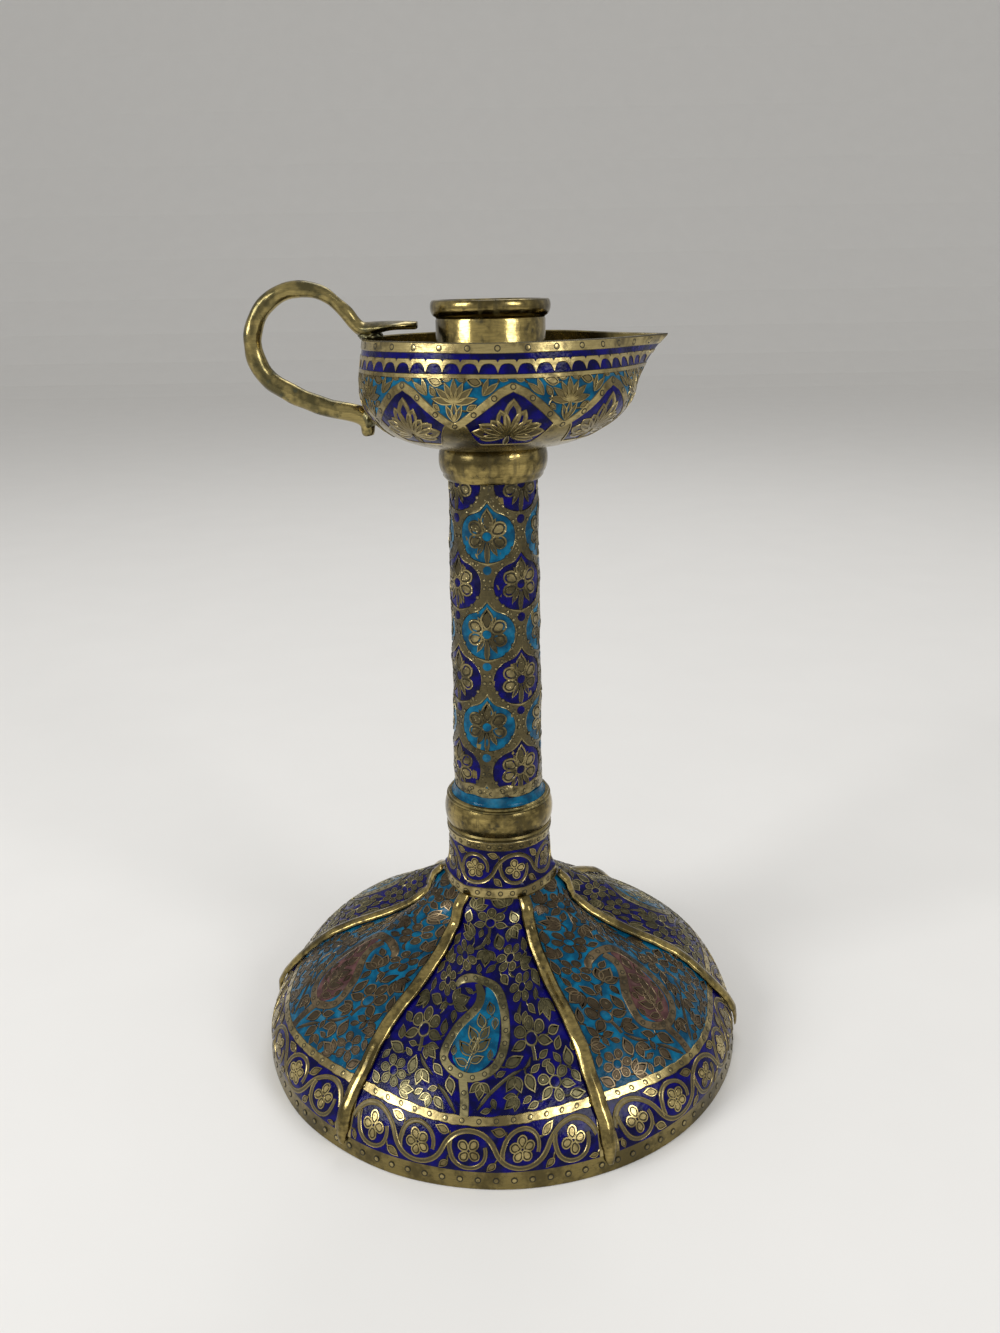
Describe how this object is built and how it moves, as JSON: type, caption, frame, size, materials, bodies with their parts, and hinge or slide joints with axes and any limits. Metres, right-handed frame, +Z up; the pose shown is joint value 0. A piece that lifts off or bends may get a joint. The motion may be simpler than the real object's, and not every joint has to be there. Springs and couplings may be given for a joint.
{
  "type": "candle lamp",
  "caption": "Enamelled brass candle lamp: a lamp-shaped bowl with a candle socket, spout and finger loop on a tall stem and a domed foot.",
  "frame": {"origin": "centre of the foot, on the table", "axes": "+Z up along the stem, +X towards the spout, -X towards the finger loop"},
  "size_m": [0.1604, 0.1596, 0.2462],
  "materials": {
    "enamelled_brass": "raised brass ornament on cobalt and turquoise enamel grounds",
    "plain_brass": "aged, softly polished, with dark patina in the recesses",
    "turned_brass": "turned, unpolished, hidden inside"
  },
  "bodies": {
    "root": {"foot_dome": "enamelled_brass", "foot_rib_1": "plain_brass", "foot_rib_2": "plain_brass", "foot_rib_3": "plain_brass", "foot_rib_4": "plain_brass", "foot_rib_5": "plain_brass", "foot_rib_6": "plain_brass", "foot_neck": "enamelled_brass", "neck_bush": "turned_brass", "lower_collar": "plain_brass", "stem_flare": "enamelled_brass", "stem_foot_screw": "turned_brass", "stem_tube": "enamelled_brass", "stem_head_nut": "turned_brass", "upper_collar": "plain_brass", "bowl": "enamelled_brass", "candle_socket": "plain_brass", "socket_floor": "turned_brass", "handle": "plain_brass"}
  },
  "joints": []
}
